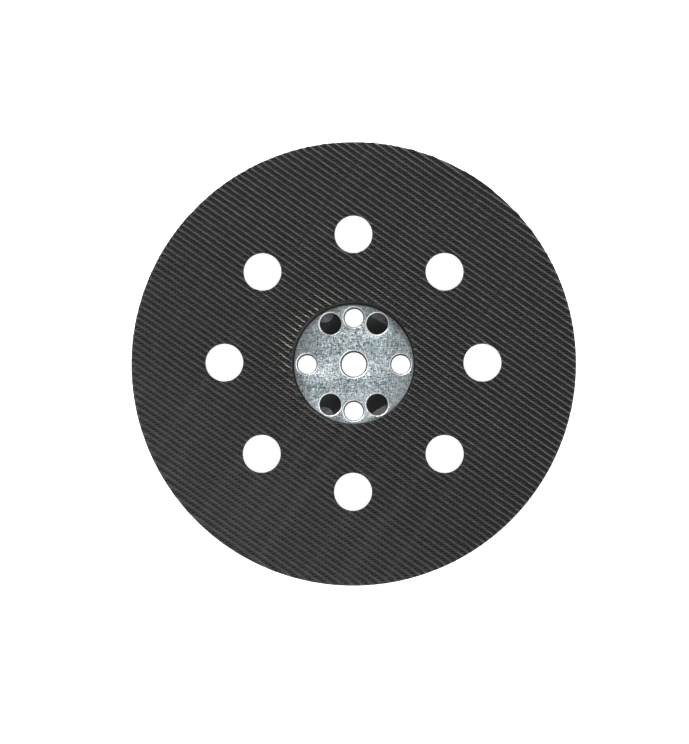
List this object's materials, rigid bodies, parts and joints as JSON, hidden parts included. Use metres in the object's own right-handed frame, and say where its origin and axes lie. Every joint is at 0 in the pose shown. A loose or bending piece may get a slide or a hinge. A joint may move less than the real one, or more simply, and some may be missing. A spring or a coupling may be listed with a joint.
{
  "type": "orbital sander backing pad",
  "caption": "Round hook-and-loop backing pad for an orbital sander: foam cushion on a ribbed carrier, punched dust holes, and a steel plate with screw holes in its hub recess.",
  "frame": {"origin": "on the pad's axis, in the plane of the carrier's rim, which is the lowest part as the pad lies on its back", "axes": "+Z along the pad's axis from its back to the hook face, +X and +Y each towards a dust hole and a screw hole"},
  "size_m": [0.115, 0.115, 0.016],
  "materials": {
    "hook_cloth": "charcoal woven nylon hook tape with stiff monofilament hooks in slanting rows",
    "bond_film": "amber-brown hot-melt adhesive film",
    "foam_cushion": "black moulded polyurethane foam with a satin skin",
    "carrier_plate": "black glass-filled nylon, moulded, fine matt texture",
    "hub_plate": "bright zinc plating with a mottled blue-white passivation"
  },
  "bodies": {
    "root": {"hook_cloth": "hook_cloth", "bond_film": "bond_film", "foam_cushion": "foam_cushion", "carrier_plate": "carrier_plate", "hub_plate": "hub_plate"}
  },
  "joints": []
}
